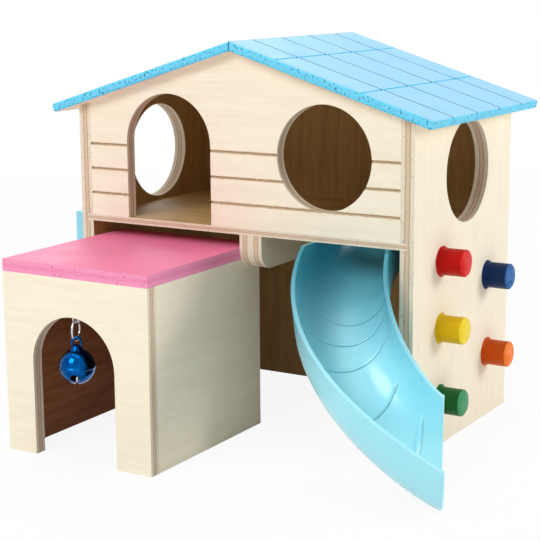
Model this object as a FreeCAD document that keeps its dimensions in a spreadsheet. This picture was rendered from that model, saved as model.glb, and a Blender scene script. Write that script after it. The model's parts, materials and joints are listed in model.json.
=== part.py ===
import FreeCAD, Part
import Sketcher
import math
import os
import re

# Wooden two-storey hamster house with a small hut in front, a moulded slide, a climbing wall
# of pegs, a ladder and a bell that hangs in the hut's door.
# Millimetres. X to the right, Y to the back, Z up. Sizes are taken from the middle of the
# house's front face on the ground; frameX and frameY move that point so that the origin of the
# whole part lies under the middle of its box.

os.makedirs("parts", exist_ok=True)
doc = FreeCAD.newDocument("HamsterHouse")
sheet = doc.addObject("Spreadsheet::Sheet", "Sizes")

sizes = {
    # house body
    "houseWidth": 162.0,
    "houseDepth": 97.0,
    "wallThick": 6.0,
    "panelThick": 5.3,
    "roomTop": 161.1,
    "roofSlope": 17.2,
    # upper floor, let into both side walls
    "floorUnder": 85.7,
    "floorThick": 2.8,
    "floorLap": 3.0,
    # roof boards
    "roofThick": 4.0,
    "roofRightReach": 91.1,
    "roofLeftReach": 92.2,
    "roofFront": 4.9,
    "roofBack": 5.6,
    "ridgeGap": 0.7,
    "roofRound": 1.2,
    "grooveDeep": 0.6,
    "courseWide": 1.0,
    "courseFirst": 22.0,
    "courseSecond": 62.0,
    "seamWide": 0.6,
    "seamFirst": 13.0,
    "seamStep": 23.5,
    "seamStop": 2.2,
    # siding grooves in the gable panel
    "sidingFirst": 98.3,
    "sidingStep": 10.75,
    "sidingWide": 1.0,
    # round windows and the gable door: the side windows fill the wall between floor and eaves
    "windowSill": 1.7,
    "windowEave": 2.83,
    "frontWindowX": 41.0,
    "frontWindowSill": 9.6,
    "sideWindowY": 51.0,
    "doorX": -34.1,
    "doorRadius": 21.4,
    "doorRoof": 6.44,
    # beam of two layers under the floor
    "beamLayer": 5.3,
    "beamUnder": 71.5,
    "beamRound": 7.5,
    # hut
    "hutWallGap": 4.5,
    "hutRight": 1.2,
    "hutFront": 65.7,
    "hutBack": 15.5,
    "hutWall": 75.0,
    "hutRoofThick": 5.0,
    "hutSide": 3.5,
    "hutDoorShift": 1.25,
    "hutDoorRadius": 20.4,
    "hutDoorArcZ": 39.0,
    # pegs of the climbing wall
    "pegRadius": 5.55,
    "pegOut": 10.8,
    "pegChamfer": 0.5,
    "pegRedY": 26.8,
    "pegRedZ": 77.5,
    "pegBlueY": 74.2,
    "pegBlueZ": 63.6,
    "pegYellowY": 26.7,
    "pegYellowZ": 49.7,
    "pegOrangeY": 75.1,
    "pegOrangeZ": 29.0,
    "pegGreenY": 26.3,
    "pegGreenZ": 19.6,
    # slide: a trough that starts under the hole in the floor and bends to the right
    "chuteWall": 1.6,
    "chuteWallGap": 6.0,
    "chuteY": 32.5,
    "chuteTop": 80.4,
    "chuteRun": 27.9,
    "chuteBend": 37.9,
    "chuteTurn": 115.4,
    "chuteSlopeTop": 21.1,
    "chutePullTop": 24.9,
    "chuteSlopeEnd": 8.7,
    "chutePullEnd": 10.7,
    "chuteEnd": 1.2,
    "chuteHalfTop": 13.5,
    "chuteHalfEnd": 21.7,
    "chuteHighTop": 32.5,
    "chuteHighMiddle": 31.8,
    "chuteHighEnd": 28.7,
    "chuteBowlRatioTop": 0.35,
    "chuteBowlRatioEnd": 0.9,
    "chuteBankAngleTop": 7.0,
    "chuteBankAngleEnd": -19.8,
    "ribHigh": 0.7,
    "ribWide": 1.2,
    # collar and sleeve that hang the slide in the floor
    "collarThick": 1.2,
    "collarMargin": 5.4,
    "collarGap": 1.0,
    "collarLead": 0.5,
    "collarRound": 2.0,
    "sleeveRound": 3.0,
    "sleeveGap": 0.3,
    "sleeveSet": 1.0,
    "screwBehind": 18.0,
    "screwSpread": 9.5,
    "screwRadius": 0.6,
    "screwHead": 1.5,
    "screwHeadHigh": 1.0,
    "screwGrip": 2.0,
    # ladder on the outer face of the left wall
    "ladderThick": 3.6,
    "ladderStile": 4.0,
    "ladderWidth": 40.0,
    "ladderHigh": 89.0,
    "rungRadius": 1.5,
    "rungLap": 2.0,
    "rungFirst": 14.0,
    "rungStep": 15.0,
    # bell, its loop, the split ring and the staple in the crown of the hut's door
    "stapleWire": 0.8,
    "stapleHalf": 1.1,
    "stapleDrop": 2.25,
    "stapleLeg": 5.0,
    "ringOuter": 4.6,
    "ringWire": 1.0,
    "ringYaw": 17.0,
    "loopOuter": 2.5,
    "loopWire": 1.0,
    "linkPlay": 0.05,
    "bellRadius": 7.25,
    "bellSkin": 0.6,
    "bellLip": 0.3,
    "bellLipHigh": 0.35,
    "neckHigh": 0.5,
    "neckWide": 2.9,
    "neckTop": 1.4,
    "bellSlot": 1.8,
    "bellHole": 1.8,
    "bellSlotAngle": 61.0,
    "bellSlotTurn": -62.0,
    "pelletRadius": 2.0,
    # hidden dowels and the small nails in the front edges of the side walls
    "dowelRadius": 1.2,
    "dowelLap": 3.5,
    "dowelIn": 7.0,
    "smallDowelRadius": 0.8,
    "nailRadius": 0.5,
    "nailLong": 9.0,
    "nailInset": 1.3,
    "nailRaise": 0.9,
    "dowelLow": 20.0,
}

# places and radii that follow from the sizes above
derived = {
    "hutLeft": "houseWidth / 2 - wallThick - hutWallGap",
    "hutDoorX": "(hutRight - hutLeft) / 2 - hutDoorShift",
    "chuteX": "houseWidth / 2 - wallThick - chuteWallGap - chuteWall - chuteHalfTop",
    "eaves": "roomTop - houseWidth / 2 * tan(roofSlope)",
    "windowRadius": "(eaves - floorUnder - floorThick - windowSill - windowEave) / 2",
    "sideWindowZ": "floorUnder + floorThick + windowSill + windowRadius",
    "frontWindowZ": "floorUnder + floorThick + frontWindowSill + windowRadius",
    "doorArcZ": "roomTop + doorX * tan(roofSlope) - (doorRadius + doorRoof) / cos(roofSlope)",
}


def fill_row(row, word, value):
    sheet.set("A%d" % row, word)
    sheet.set("B%d" % row, value)
    sheet.setAlias("B%d" % row, word)


for row, (word, value) in enumerate(sizes.items(), start=1):
    fill_row(row, word, repr(value))
for row, (word, text) in enumerate(derived.items(), start=len(sizes) + 1):
    fill_row(row, word, "=" + text)
sizes.update(derived)
doc.recompute()


def size(word):
    return float(getattr(sheet, word))


def add_size(word, value):
    sizes[word] = value
    fill_row(len(sizes), word, repr(value))
    doc.recompute()


def formula(text):
    def named(match):
        word = match.group(0)
        return "Sizes." + word if word in sizes else word
    return re.sub(r"[A-Za-z]+", named, text)


def bind(item, field, text):
    item.setExpression(field, formula(text))


# Slide geometry. The path is a run towards the front, then a bend to the right. Its height
# follows a cubic curve over the length in plan.

def chute_path(part):
    turn_all = math.radians(size("chuteTurn"))
    plan = size("chuteRun") + size("chuteBend") * turn_all
    top_slope = math.radians(size("chuteSlopeTop"))
    end_slope = math.radians(size("chuteSlopeEnd"))
    start = (0.0, size("chuteTop"))
    first = (start[0] + size("chutePullTop") * math.cos(top_slope),
             start[1] - size("chutePullTop") * math.sin(top_slope))
    last = (plan, size("chuteEnd"))
    third = (last[0] - size("chutePullEnd") * math.cos(end_slope),
             last[1] + size("chutePullEnd") * math.sin(end_slope))
    rest = 1.0 - part
    shares = (rest ** 3, 3 * part * rest ** 2, 3 * part ** 2 * rest, part ** 3)
    along = sum(share * point[0] for share, point in zip(shares, (start, first, third, last)))
    height = sum(share * point[1] for share, point in zip(shares, (start, first, third, last)))
    turn = min(max((along - size("chuteRun")) / size("chuteBend"), 0.0), turn_all)
    straight = min(along, size("chuteRun"))
    x = size("chuteX") + size("chuteBend") * (1.0 - math.cos(turn))
    y = size("chuteY") - straight - size("chuteBend") * math.sin(turn)
    return FreeCAD.Vector(x, y, height), turn


def chute_section(part, grow, extra=0.0, shift=0.0, share=1.0):
    centre, turn = chute_path(part)
    heading = FreeCAD.Vector(math.sin(turn), -math.cos(turn), 0)
    side = FreeCAD.Vector(-math.cos(turn), -math.sin(turn), 0)
    bank = math.radians(size("chuteBankAngleTop") * (1 - part) + size("chuteBankAngleEnd") * part)
    across = side * math.cos(bank) + FreeCAD.Vector(0, 0, math.sin(bank))
    upward = FreeCAD.Vector(0, 0, math.cos(bank)) - side * math.sin(bank)
    half = size("chuteHalfTop") * (1 - part) + size("chuteHalfEnd") * part
    high = (size("chuteHighTop") * (1 - part) * (1 - 2 * part)
            + 4 * size("chuteHighMiddle") * part * (1 - part)
            + size("chuteHighEnd") * part * (2 * part - 1))
    bowl = high * (size("chuteBowlRatioTop") * (1 - part) + size("chuteBowlRatioEnd") * part)
    wide = half + grow
    deep = bowl + grow
    top = bowl + (high - bowl) * share + extra
    round_share = 0.5523

    def spot(out, up):
        return centre + across * out + upward * up + heading * shift

    left_top = spot(wide, top)
    left_hip = spot(wide, bowl)
    bottom = spot(0, bowl - deep)
    right_hip = spot(-wide, bowl)
    right_top = spot(-wide, top)
    left_bowl = Part.BezierCurve()
    left_bowl.setPoles([left_hip, spot(wide, bowl - round_share * deep),
                        spot(round_share * wide, bowl - deep), bottom])
    right_bowl = Part.BezierCurve()
    right_bowl.setPoles([bottom, spot(-round_share * wide, bowl - deep),
                         spot(-wide, bowl - round_share * deep), right_hip])
    return Part.Wire([
        Part.makeLine(left_top, left_hip),
        left_bowl.toShape(),
        right_bowl.toShape(),
        Part.makeLine(right_hip, right_top),
        Part.makeLine(right_top, left_top),
    ])


rib_parts = (0.35, 0.41, 0.48, 0.62, 0.8)


def chute_ribs():
    # raised grip ribs across the bottom of the trough, at these parts of its length
    ribs = []
    half = size("ribWide") / 2
    high = size("ribHigh")
    middle = size("chuteWall") / 2
    for part in rib_parts:
        outer = Part.makeLoft([chute_section(part, middle, 0, -half),
                               chute_section(part, middle, 0, half)], True, True)
        inner = Part.makeLoft([chute_section(part, -high, high, -2 * half),
                               chute_section(part, -high, high, 2 * half)], True, True)
        reach = size("chuteHalfTop") * (1 - part) + size("chuteHalfEnd") * part
        near_bottom = Part.makeSphere(reach * 1.05, chute_path(part)[0])
        ribs.append(outer.cut(inner).common(near_bottom))
    return ribs


def rounded_block(left, front, low, right, back, high, radius):
    block = Part.makeBox(right - left, back - front, high - low, FreeCAD.Vector(left, front, low))
    upright = [edge for edge in block.Edges
               if abs(edge.Vertexes[0].Z - edge.Vertexes[1].Z) > 0.5 * (high - low)]
    return block.makeFillet(radius, upright)


def chute_shape():
    wall = size("chuteWall")
    above = size("chuteHighTop") / 4
    steps = 14
    outer_rows = [chute_section(0.0, wall, 0, -wall)]
    inner_rows = []
    for step in range(steps + 1):
        outer_rows.append(chute_section(step / steps, wall))
        inner_rows.append(chute_section(step / steps, 0.0, above))
    inner_rows.append(chute_section(1.0, 0.0, above, wall))
    outer = Part.makeLoft(outer_rows, True, False)
    inner = Part.makeLoft(inner_rows, True, False)

    floor_under = size("floorUnder")
    floor_over = floor_under + size("floorThick")
    collar_under = floor_under - size("collarThick")
    collar_margin = size("collarMargin")
    reach = size("chuteHalfTop")
    left = size("chuteX") - reach
    right = size("chuteX") + reach
    front = size("panelThick") + size("sleeveSet")
    back = size("chuteY")
    collar_front = front - size("collarLead")
    collar_right = size("houseWidth") / 2 - size("wallThick") - size("collarGap")
    far = 2 * size("houseWidth")

    def below(height, up_to=far / 2):
        return Part.makeBox(far, up_to + far / 2, height, FreeCAD.Vector(-far / 2, -far / 2, 0))

    # the trough is open to the floor's underside in front of the collar, and under it behind
    hollow = [inner.common(below(collar_under)), inner.common(below(floor_under, collar_front))]
    trough = outer.common(below(floor_under))
    collar = rounded_block(left - wall - collar_margin, collar_front, collar_under,
                           collar_right, back + wall + collar_margin, floor_under, size("collarRound"))
    sleeve = rounded_block(left - wall, front, collar_under, right + wall, back + wall, floor_over,
                           size("sleeveRound"))
    opening = rounded_block(left, front + wall, collar_under - wall, right, back, floor_over + wall,
                            size("sleeveRound") - wall)
    solid = trough.fuse([collar, sleeve]).cut(hollow + [opening])
    solid = solid.fuse([rib.common(below(floor_under)) for rib in chute_ribs()])
    holes = []
    for x, y in screw_spots():
        holes.append(Part.makeCylinder(size("screwRadius"), size("collarThick") + 2 * wall,
                                       FreeCAD.Vector(x, y, collar_under - wall)))
    return solid.cut(holes)


def screw_spots():
    left = size("chuteX") - size("chuteHalfTop") - size("chuteWall") - size("collarMargin") / 2
    back = size("chuteY") + size("chuteWall") + size("collarMargin") / 2
    return [(left, size("chuteY") - size("screwBehind")),
            (size("chuteX") - size("screwSpread"), back),
            (size("chuteX") + size("screwSpread"), back)]


def chute_reach():
    mouth = chute_section(1.0, size("chuteWall"))
    return max(point.x for edge in mouth.Edges for point in edge.discretize(40))


add_size("frameX", (size("roofLeftReach") - chute_reach()) / 2)
bell_reach = size("hutFront") - size("panelThick") / 2 + size("bellRadius") + size("bellLip")
add_size("frameY", (bell_reach - size("houseDepth") - size("roofBack")) / 2)

nodes = []


def at(item, x, y, z):
    bind(item, "Placement.Base.x", "(%s) + frameX" % x)
    bind(item, "Placement.Base.y", "(%s) + frameY" % y)
    bind(item, "Placement.Base.z", z)
    return item


def block(name, long, wide, high, x, y, z):
    item = doc.addObject("Part::Box", name)
    bind(item, "Length", long)
    bind(item, "Width", wide)
    bind(item, "Height", high)
    return at(item, x, y, z)


def rod(name, radius, long, direction, x, y, z):
    item = doc.addObject("Part::Cylinder", name)
    bind(item, "Radius", radius)
    bind(item, "Height", long)
    turn = FreeCAD.Rotation(FreeCAD.Vector(0, 0, 1), direction)
    item.Placement = FreeCAD.Placement(FreeCAD.Vector(), turn)
    return at(item, x, y, z)


def cut(name, base, tool):
    item = doc.addObject("Part::Cut", name)
    item.Base = base
    item.Tool = tool
    return item


def fuse(name, pieces):
    item = doc.addObject("Part::MultiFuse", name)
    item.Shapes = pieces
    return item


def group(name, pieces):
    item = doc.addObject("Part::Compound", name)
    item.Links = pieces
    return item


def node(item, name):
    item.Label = name
    nodes.append((name, item))
    return item


def plane(body, role):
    for feature in body.Origin.OriginFeatures:
        if feature.Role == role:
            return feature
    raise ValueError(role)


def polygon(body, role, points):
    sketch = body.newObject("Sketcher::SketchObject", body.Name + "Outline")
    sketch.AttachmentSupport = [(plane(body, role), "")]
    sketch.MapMode = "FlatFace"
    values = []
    for across, upward in points:
        values.append((number(across), number(upward)))
    total = len(points)
    for index in range(total):
        here = FreeCAD.Vector(values[index][0], values[index][1], 0)
        there = FreeCAD.Vector(values[(index + 1) % total][0], values[(index + 1) % total][1], 0)
        sketch.addGeometry(Part.LineSegment(here, there), False)
    for index in range(total):
        sketch.addConstraint(Sketcher.Constraint("Coincident", index, 2, (index + 1) % total, 1))
    for index, (across, upward) in enumerate(points):
        for kind, text, place in (("DistanceX", across, 0), ("DistanceY", upward, 1)):
            constraint = Sketcher.Constraint(kind, -1, 1, index, 1, values[index][place])
            key = sketch.addConstraint(constraint)
            sketch.setExpression("Constraints[%d]" % key, formula(text))
    return sketch


def number(text):
    return float(sheet.evalExpression(formula(text)))


def plate(name, points, thick, y):
    # a board that stands upright, drawn from the front and padded to the back
    body = doc.addObject("PartDesign::Body", name)
    sketch = polygon(body, "XZ_Plane", points)
    pad = body.newObject("PartDesign::Pad", name + "Pad")
    pad.Profile = sketch
    bind(pad, "Length", thick)
    pad.Reversed = True
    sketch.Visibility = False
    return at(body, "0", y, "0")


def arch(name, radius, x, z, low, y, deep):
    # a round-topped cutter with straight sides down to the height "low"
    bow = rod(name + "Bow", radius, deep, FreeCAD.Vector(0, 1, 0), x, y, z)
    leg = block(name + "Leg", "2 * (%s)" % radius, deep, "(%s) - (%s)" % (z, low),
                "(%s) - (%s)" % (x, radius), y, low)
    return fuse(name, [bow, leg])


wall_inner = "houseWidth / 2 - wallThick"
wall_outer = "houseWidth / 2"
wall_top_inner = "roomTop - (houseWidth / 2 - wallThick) * tan(roofSlope)"
wall_top_outer = "roomTop - houseWidth / 2 * tan(roofSlope)"
floor_top = "floorUnder + floorThick"


def make_pegs():
    pegs = []
    for colour in ("Red", "Blue", "Yellow", "Orange", "Green"):
        body = doc.addObject("PartDesign::Body", "Peg" + colour)
        sketch = body.newObject("Sketcher::SketchObject", "Peg%sCircle" % colour)
        sketch.AttachmentSupport = [(plane(body, "YZ_Plane"), "")]
        sketch.MapMode = "FlatFace"
        circle = Part.Circle(FreeCAD.Vector(0, 0, 0), FreeCAD.Vector(0, 0, 1), size("pegRadius"))
        sketch.addGeometry(circle, False)
        sketch.addConstraint(Sketcher.Constraint("Coincident", 0, 3, -1, 1))
        key = sketch.addConstraint(Sketcher.Constraint("Radius", 0, size("pegRadius")))
        sketch.setExpression("Constraints[%d]" % key, formula("pegRadius"))
        pad = body.newObject("PartDesign::Pad", "Peg%sPad" % colour)
        pad.Profile = sketch
        bind(pad, "Length", "wallThick + pegOut")
        doc.recompute()
        rim = max(range(len(pad.Shape.Edges)), key=lambda index: pad.Shape.Edges[index].CenterOfMass.x)
        chamfer = body.newObject("PartDesign::Chamfer", "Peg%sChamfer" % colour)
        chamfer.Base = (pad, ["Edge%d" % (rim + 1)])
        bind(chamfer, "Size", "pegChamfer")
        at(body, wall_inner, "peg%sY" % colour, "peg%sZ" % colour)
        pegs.append(node(body, "peg_" + colour.lower()))
    return pegs


def make_floor():
    board = block("FloorBoard", "houseWidth - 2 * wallThick + 2 * floorLap", "houseDepth - wallThick",
                  "floorThick", "wallThick - floorLap - houseWidth / 2", "0", "floorUnder")
    hole = block("FloorHole", "2 * (chuteHalfTop + chuteWall + sleeveGap)",
                 "chuteY + chuteWall + 2 * sleeveGap - panelThick - sleeveSet", "floorThick + 2",
                 "chuteX - chuteHalfTop - chuteWall - sleeveGap", "panelThick + sleeveSet - sleeveGap",
                 "floorUnder - 1")
    tools = [hole]
    for index, (x, y) in enumerate(screw_spots()):
        tools.append(screw_shank("FloorScrewHole%d" % index, x, y))
    node(cut("UpperFloor", board, fuse("FloorCuts", tools)), "upper_floor")
    return board


def screw_shank(name, x, y):
    return rod(name, "screwRadius", "collarThick + screwGrip", FreeCAD.Vector(0, 0, 1),
               repr(x), repr(y), "floorUnder - collarThick")


def make_screws():
    pieces = []
    for index, (x, y) in enumerate(screw_spots()):
        shank = screw_shank("ScrewShank%d" % index, x, y)
        head = rod("ScrewHead%d" % index, "screwHead", "screwHeadHigh", FreeCAD.Vector(0, 0, 1),
                   repr(x), repr(y), "floorUnder - collarThick - screwHeadHigh")
        slot = block("ScrewSlot%d" % index, "2 * screwHead", "screwHead / 3", "screwHeadHigh / 2",
                     "%r - screwHead" % x, "%r - screwHead / 6" % y,
                     "floorUnder - collarThick - screwHeadHigh")
        pieces.append(cut("Screw%d" % index, fuse("ScrewBlank%d" % index, [shank, head]), slot))
    node(group("SlideScrews", pieces), "slide_screws")


def wall_dowel_spots():
    # height and depth of each dowel between a side wall and the gable walls
    middle_back = "houseDepth - wallThick / 2"
    return [("dowelLow", middle_back), ("floorUnder - dowelLow", middle_back), ("sideWindowZ", middle_back),
            ("doorArcZ - doorRadius", "panelThick / 2"), ("doorArcZ", "panelThick / 2")]


def make_wall_dowels():
    pieces = []
    for side, name in ((-1, "Left"), (1, "Right")):
        for index, (z, y) in enumerate(wall_dowel_spots()):
            start = "houseWidth / 2 - wallThick - dowelIn"
            if side < 0:
                start = "wallThick - houseWidth / 2 - dowelLap"
            pieces.append(rod("WallDowel%s%d" % (name, index), "dowelRadius", "dowelIn + dowelLap",
                              FreeCAD.Vector(1, 0, 0), start, y, z))
    return node(group("WallDowels", pieces), "wall_dowels")


def make_nails():
    pieces = []
    for side, name in (("-1", "Left"), ("1", "Right")):
        pieces.append(rod("Nail" + name, "nailRadius", "nailLong", FreeCAD.Vector(0, 1, 0),
                          side + " * (houseWidth / 2 - wallThick + nailInset)", "0",
                          "floorUnder + floorThick + nailRaise"))
    return node(group("EdgeNails", pieces), "edge_nails")


def make_side_walls(floor_board, pegs, dowels, nails):
    for side, name in (("-1", "left"), ("1", "right")):
        outline = [("%s * (%s)" % (side, wall_inner), "0"),
                   ("%s * (%s)" % (side, wall_outer), "0"),
                   ("%s * (%s)" % (side, wall_outer), wall_top_outer),
                   ("%s * (%s)" % (side, wall_inner), wall_top_inner)]
        blank = plate(name.capitalize() + "Wall", outline, "houseDepth", "0")
        start = wall_inner + " - 1" if side == "1" else "0 - houseWidth / 2 - 1"
        window = rod(name.capitalize() + "Window", "windowRadius", "wallThick + 2",
                     FreeCAD.Vector(1, 0, 0), start, "sideWindowY", "sideWindowZ")
        tools = [window, floor_board, dowels, nails]
        if name == "right":
            tools = tools + pegs
        wall = blank
        for index, tool in enumerate(tools):
            wall = cut("%sWallCut%d" % (name.capitalize(), index), wall, tool)
        node(wall, name + "_wall")


def gable(low):
    return [("-1 * (%s)" % wall_inner, low), (wall_inner, low), (wall_inner, wall_top_inner),
            ("0", "roomTop"), ("-1 * (%s)" % wall_inner, wall_top_inner)]


def make_gables(dowels):
    front = plate("FrontBlank", gable(floor_top), "panelThick", "0")
    window = rod("FrontWindow", "windowRadius", "panelThick + 2", FreeCAD.Vector(0, 1, 0),
                 "frontWindowX", "-1", "frontWindowZ")
    door = arch("GableDoor", "doorRadius", "doorX", "doorArcZ", floor_top, "-1", "panelThick + 2")
    tools = [window, door]
    for index in range(3):
        tools.append(block("Siding%d" % index, "houseWidth - 2 * wallThick", "grooveDeep + 1",
                           "sidingWide", "wallThick - houseWidth / 2", "-1",
                           "sidingFirst + %d * sidingStep - sidingWide / 2" % index))
    opened = cut("FrontOpened", front, fuse("FrontCuts", tools))
    node(cut("FrontPanel", opened, dowels), "front_panel")
    back = plate("BackBlank", gable("0"), "wallThick", "houseDepth - wallThick")
    node(cut("BackWall", back, dowels), "back_wall")


def make_roof():
    for side, name in ((-1, "left"), (1, "right")):
        title = name.capitalize()
        reach = "roof%sReach" % title
        slant = "((%s - roofThick * sin(roofSlope)) / cos(roofSlope))" % reach
        turn = FreeCAD.Rotation(FreeCAD.Vector(0, 1, 0), side * size("roofSlope"))

        def laid(item, along, y, raised):
            # a point "along" the slope from the ridge and "raised" square to the board
            item.Placement = FreeCAD.Placement(FreeCAD.Vector(), turn)
            return at(item, "(%s) * cos(roofSlope) + %d * (%s) * sin(roofSlope)" % (along, side, raised),
                      y, "roomTop - %d * (%s) * sin(roofSlope) + (%s) * cos(roofSlope)"
                      % (side, along, raised))

        def strip(label, start, long, y, wide, raised, high):
            item = doc.addObject("Part::Box", label)
            bind(item, "Length", long)
            bind(item, "Width", wide)
            bind(item, "Height", high)
            along = start if side > 0 else "-1 * ((%s) + (%s))" % (start, long)
            return laid(item, along, y, raised)

        long = "%s + roofThick" % slant
        board = strip("Roof%sBoard" % title, "0 - roofThick", long, "0 - roofFront",
                      "houseDepth + roofFront + roofBack", "0", "roofThick")
        doc.recompute()
        eased = doc.addObject("Part::Fillet", "Roof%sEased" % title)
        eased.Base = board
        radius = size("roofRound")
        ridge_side = min(board.Shape.Vertexes, key=lambda corner: side * corner.X).X
        picked = []
        for index, edge in enumerate(board.Shape.Edges, start=1):
            near_ridge = [corner for corner in edge.Vertexes
                          if abs(corner.X - ridge_side) < 2 * size("roofThick")]
            upright = edge.Length < size("roofThick") * 1.01
            if len(near_ridge) < 2 and not upright:
                picked.append((index, radius, radius))
        eased.Edges = picked
        trim_x = "ridgeGap / 2 - 60" if side > 0 else "0 - ridgeGap / 2"
        trim = block("Roof%sTrim" % title, "60", "houseDepth + 60", "60", trim_x, "-30", "roomTop - 30")
        trimmed = cut("Roof%sTrimmed" % title, eased, trim)
        tools = []
        for label, where in (("First", "courseFirst"), ("Second", "courseSecond")):
            tools.append(strip("Roof%sCourse%s" % (title, label), "%s - courseWide / 2" % where,
                               "courseWide", "0 - roofFront - 1", "houseDepth + roofFront + roofBack + 2",
                               "roofThick - grooveDeep", "grooveDeep + 1"))
        for index in range(4):
            tools.append(strip("Roof%sSeam%d" % (title, index), "0 - 1", "%s - seamStop + 1" % slant,
                               "seamFirst + %d * seamStep - seamWide / 2" % index, "seamWide",
                               "roofThick - grooveDeep", "grooveDeep + 1"))
        node(cut("Roof%s" % title, trimmed, fuse("Roof%sGrooves" % title, tools)), "roof_" + name)


def make_beam():
    for index, name in enumerate(("left", "right")):
        title = name.capitalize()
        start = "hutRight + %d * beamLayer" % index
        bar = block("Beam%sBar" % title, "beamLayer", "houseDepth - wallThick",
                    "floorUnder - beamUnder", start, "0", "beamUnder")
        # the front end is rounded underneath
        corner = block("Beam%sCorner" % title, "beamLayer", "beamRound", "beamRound", start, "0", "beamUnder")
        bow = rod("Beam%sBow" % title, "beamRound", "beamLayer", FreeCAD.Vector(1, 0, 0), start,
                  "beamRound", "beamUnder + beamRound")
        waste = cut("Beam%sWaste" % title, corner, bow)
        node(cut("Beam%s" % title, bar, waste), "floor_beam_" + name)


def make_hut(staple):
    width = "hutLeft + hutRight"
    depth = "hutFront + hutBack"
    panel = block("HutPanel", width, "panelThick", "hutWall", "0 - hutLeft", "0 - hutFront", "0")
    door = arch("HutDoor", "hutDoorRadius", "hutDoorX", "hutDoorArcZ", "-1", "-1 - hutFront", "panelThick + 2")
    spots = [("0 - hutLeft + hutSide / 2", "Left"), ("hutRight - hutSide / 2", "Right")]
    pieces = []
    for x, name in spots:
        for index, z in enumerate(("hutWall / 5", "hutWall / 2", "hutWall * 4 / 5")):
            pieces.append(rod("HutDowel%s%d" % (name, index), "smallDowelRadius", "dowelIn + dowelLap",
                              FreeCAD.Vector(0, 1, 0), x, "panelThick - hutFront - dowelLap", z))
    dowels = node(group("HutDowels", pieces), "hut_dowels")
    opened = cut("HutOpened", panel, door)
    pinned = cut("HutPinned", opened, dowels)
    node(cut("HutFront", pinned, staple), "hut_front")
    for name, x in (("left", "0 - hutLeft"), ("right", "hutRight - hutSide")):
        title = name.capitalize()
        side = block("Hut%sBlank" % title, "hutSide", depth + " - panelThick", "hutWall", x,
                     "panelThick - hutFront", "0")
        node(cut("Hut" + title, side, dowels), "hut_%s_wall" % name)
    node(block("HutRoof", width, depth, "hutRoofThick", "0 - hutLeft", "0 - hutFront", "hutWall"), "hut_roof")


def make_ladder():
    x = "0 - houseWidth / 2 - ladderThick"
    front = block("StileFrontBlank", "ladderThick", "ladderStile", "ladderHigh", x, "0", "0")
    back = block("StileBackBlank", "ladderThick", "ladderStile", "ladderHigh", x,
                 "ladderWidth - ladderStile", "0")
    pieces = []
    for index in range(5):
        pieces.append(rod("Rung%d" % index, "rungRadius", "ladderWidth - 2 * ladderStile + 2 * rungLap",
                          FreeCAD.Vector(0, 1, 0), "0 - houseWidth / 2 - ladderThick / 2",
                          "ladderStile - rungLap", "rungFirst + %d * rungStep" % index))
    rungs = node(group("LadderRungs", pieces), "ladder_rungs")
    node(cut("StileFront", front, rungs), "ladder_stile_front")
    node(cut("StileBack", back, rungs), "ladder_stile_back")


bell_y = "panelThick / 2 - hutFront"
staple_z = "hutDoorArcZ + hutDoorRadius - stapleDrop"
ring_radius = "(ringOuter - ringWire / 2)"
loop_radius = "(loopOuter - loopWire / 2)"
ring_z = "(%s + stapleWire / 2 + linkPlay + ringWire / 2 - %s)" % (staple_z, ring_radius)
link_z = "(%s - %s)" % (ring_z, ring_radius)
loop_z = "(%s + ringWire / 2 + linkPlay + loopWire / 2 - %s)" % (link_z, loop_radius)
bell_z = "(%s - %s - neckHigh - bellRadius)" % (loop_z, loop_radius)


def torus(name, radius, wire, turn, x, y, z):
    item = doc.addObject("Part::Torus", name)
    bind(item, "Radius1", radius)
    bind(item, "Radius2", wire + " / 2")
    item.Placement = FreeCAD.Placement(FreeCAD.Vector(), turn)
    return at(item, x, y, z)


def make_staple():
    yaw = FreeCAD.Rotation(FreeCAD.Vector(0, 0, 1), size("ringYaw"))
    tip = FreeCAD.Rotation(FreeCAD.Vector(1, 0, 0), -90)
    middle = "%s + stapleHalf" % staple_z
    bow = torus("StapleBow", "stapleHalf", "stapleWire", yaw.multiply(tip), "hutDoorX", bell_y, middle)
    bow.Angle3 = 180
    pieces = [bow]
    for sign, name in (("-1", "Left"), ("1", "Right")):
        pieces.append(rod("StapleLeg" + name, "stapleWire / 2", "stapleLeg", FreeCAD.Vector(0, 0, 1),
                          "hutDoorX + %s * stapleHalf * cos(ringYaw)" % sign,
                          "%s + %s * stapleHalf * sin(ringYaw)" % (bell_y, sign), middle))
    return node(fuse("BellStaple", pieces), "bell_staple")


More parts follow.
